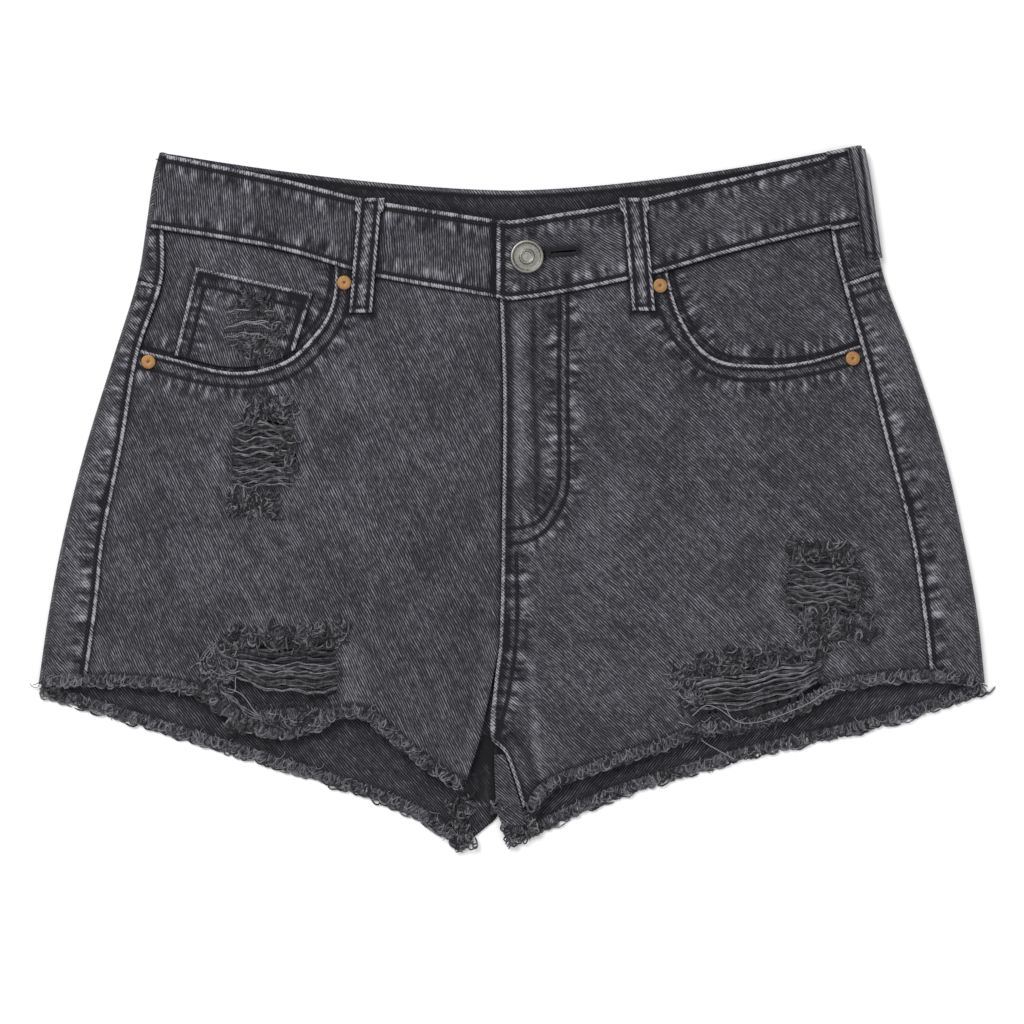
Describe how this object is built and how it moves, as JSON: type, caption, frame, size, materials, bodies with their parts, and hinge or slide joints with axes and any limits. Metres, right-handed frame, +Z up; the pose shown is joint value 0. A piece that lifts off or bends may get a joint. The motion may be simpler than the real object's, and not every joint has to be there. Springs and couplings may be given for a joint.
{
  "type": "denim shorts",
  "caption": "Five-pocket denim shorts with belt loops, a button waistband, rips and frayed hems, lying flat on the back.",
  "frame": {"origin": "centre of the bounding box on the plane that the shorts lie on", "axes": "+X across the shorts to the picture's right, +Y from the hems towards the waist, +Z up from the table"},
  "size_m": [0.5134, 0.3806, 0.0132],
  "materials": {
    "denim": "washed grey black twill",
    "frayed_thread": "loose cotton threads",
    "button_metal": "aged silver",
    "rivet_metal": "worn copper colour"
  },
  "bodies": {
    "root": {"waistband_back": "denim", "waistband_front_left": "denim", "waistband_front_right": "denim", "front_left": "denim", "front_right": "denim", "back_left": "denim", "back_right": "denim", "back_right_inseam": "denim", "yoke_left": "denim", "yoke_right": "denim", "pocket_facing_left": "denim", "pocket_facing_right": "denim", "coin_pocket": "denim", "back_pocket_left": "denim", "back_pocket_right": "denim", "belt_loop_front_left": "denim", "belt_loop_front_right": "denim", "belt_loop_side_left": "denim", "belt_loop_side_right": "denim", "belt_loop_back": "denim", "fringe_front_left": "frayed_thread", "fringe_front_right": "frayed_thread", "fringe_back_left": "frayed_thread", "fringe_back_right": "frayed_thread", "button": "button_metal", "rivet_left_front": "rivet_metal", "rivet_left_side": "rivet_metal", "rivet_right_front": "rivet_metal", "rivet_right_side": "rivet_metal"}
  },
  "joints": []
}
